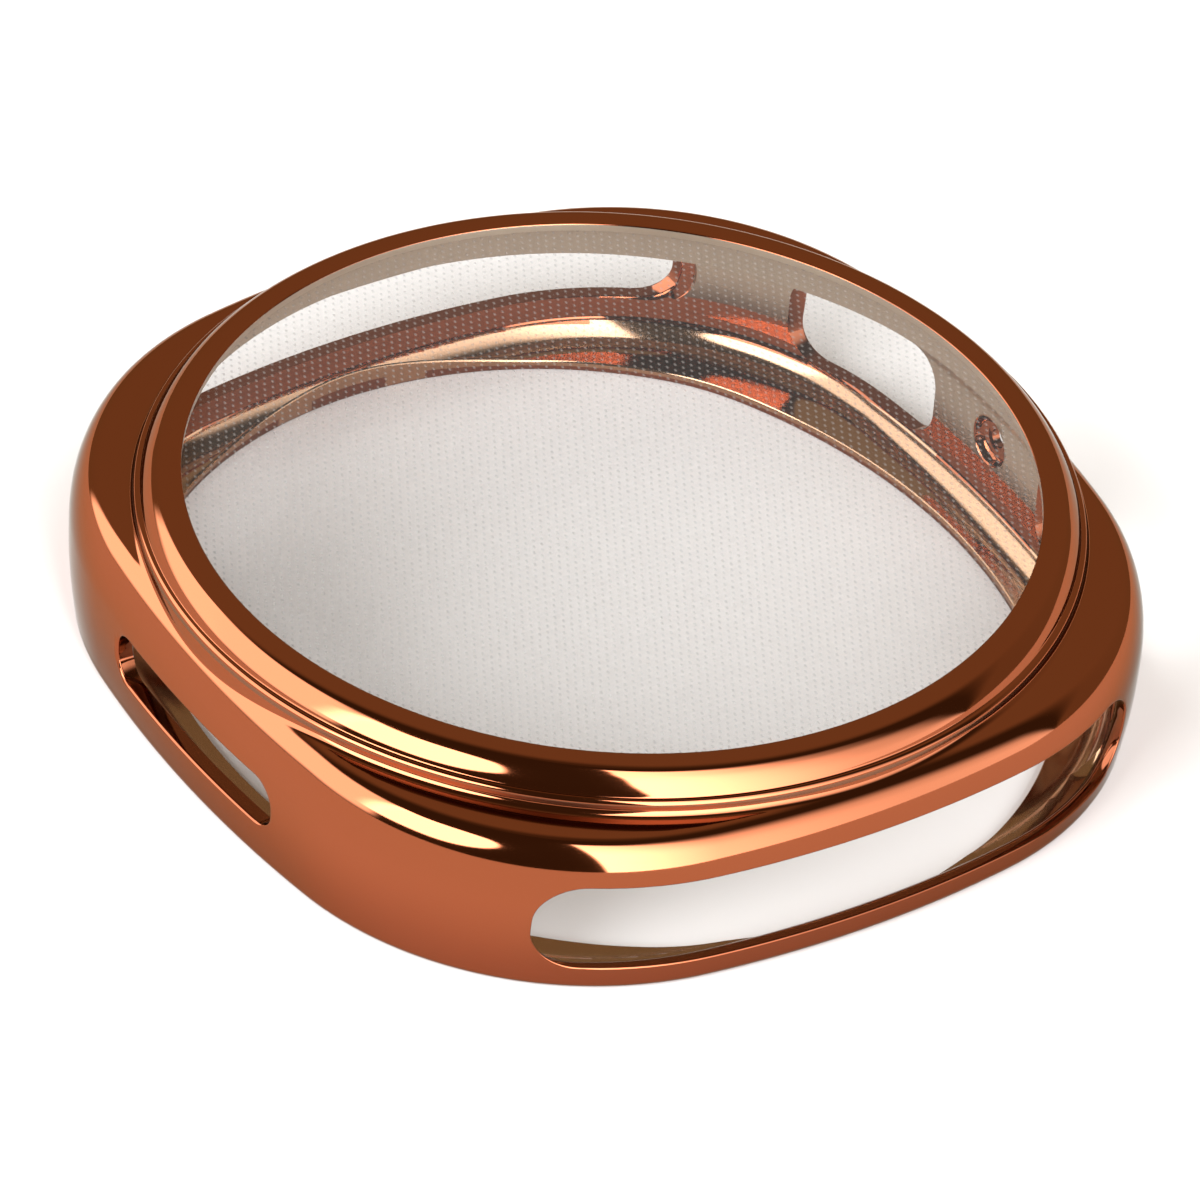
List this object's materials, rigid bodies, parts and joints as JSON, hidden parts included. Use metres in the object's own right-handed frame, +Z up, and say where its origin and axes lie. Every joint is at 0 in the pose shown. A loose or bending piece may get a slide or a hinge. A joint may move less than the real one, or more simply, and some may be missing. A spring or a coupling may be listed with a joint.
{
  "type": "watch protective shell",
  "caption": "Slip-on plated shell for a cushion-shaped smartwatch, with a raised round rim, a clear dotted screen film and side openings.",
  "frame": {"origin": "centre of the bounding box footprint, on the underside the shell rests on", "axes": "+Z up through the screen film; +Y toward 12 o'clock; +X toward 3 o'clock, the side with the two control openings"},
  "size_m": [0.0428, 0.044, 0.0096],
  "materials": {
    "plated_shell": "mirror-bright copper plating over a flexible moulded plastic",
    "clear_film": "clear flexible film with a fine grid of anti-contact dots",
    "clear_bond": "thin translucent adhesive"
  },
  "bodies": {
    "root": {"plated_frame": "plated_shell", "screen_film": "clear_film", "film_bond_ring": "clear_bond"}
  },
  "joints": []
}
